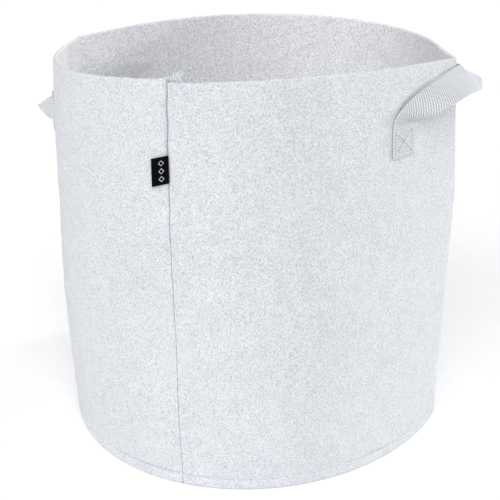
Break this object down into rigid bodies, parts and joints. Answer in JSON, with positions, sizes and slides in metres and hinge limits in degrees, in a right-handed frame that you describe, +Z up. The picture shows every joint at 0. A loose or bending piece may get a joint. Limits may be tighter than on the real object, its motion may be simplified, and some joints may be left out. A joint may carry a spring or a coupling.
{
  "type": "fabric grow bag",
  "caption": "Round open-topped felt planter bag with a sewn-in base, webbing carrying handles and a small folded label in its side seam.",
  "frame": {"origin": "centre of the base's flat underside, on the ground", "axes": "+Z up, out of the open top; +X through the middle of the right handle, with the other handle at -X; the side seam with the label faces -Y"},
  "size_m": [0.4469, 0.3988, 0.369],
  "materials": {
    "felt_wall": "needle-punched felt, matte",
    "felt_base": "needle-punched felt, matte",
    "webbing": "ribbed woven webbing, matte",
    "thread": "twisted sewing thread",
    "woven_label": "black woven tape"
  },
  "bodies": {
    "bag": {"wall_panel": "felt_wall", "base_panel": "felt_base", "side_seam_needle_thread": "thread", "side_seam_bobbin_thread": "thread", "base_seam_needle_thread": "thread", "base_seam_bobbin_thread": "thread", "handle_right_front_sewn_end": "webbing", "handle_right_front_needle_thread": "thread", "handle_right_front_bobbin_thread": "thread", "handle_right_back_sewn_end": "webbing", "handle_right_back_needle_thread": "thread", "handle_right_back_bobbin_thread": "thread", "handle_left_front_sewn_end": "webbing", "handle_left_front_needle_thread": "thread", "handle_left_front_bobbin_thread": "thread", "handle_left_back_sewn_end": "webbing", "handle_left_back_needle_thread": "thread", "handle_left_back_bobbin_thread": "thread"},
    "handle_right": {"handle_right_loop": "webbing"},
    "handle_left": {"handle_left_loop": "webbing"},
    "label": {"side_label": "woven_label"}
  },
  "joints": [
    {"name": "handle_right_swing", "type": "hinge", "parent": "bag", "child": "handle_right", "pos_m": [0.168, 0, 0.313], "axis": [0, -1, 0], "range_deg": [-80, 0], "stiffness_Nm_per_rad": 0.02},
    {"name": "handle_left_swing", "type": "hinge", "parent": "bag", "child": "handle_left", "pos_m": [-0.172, 0, 0.322], "axis": [0, 1, 0], "range_deg": [0, 100], "stiffness_Nm_per_rad": 0.02},
    {"name": "label_flap", "type": "hinge", "parent": "bag", "child": "label", "pos_m": [-0.0012, -0.1976, 0.292], "axis": [0, 0, 1], "range_deg": [-8, 150]}
  ]
}
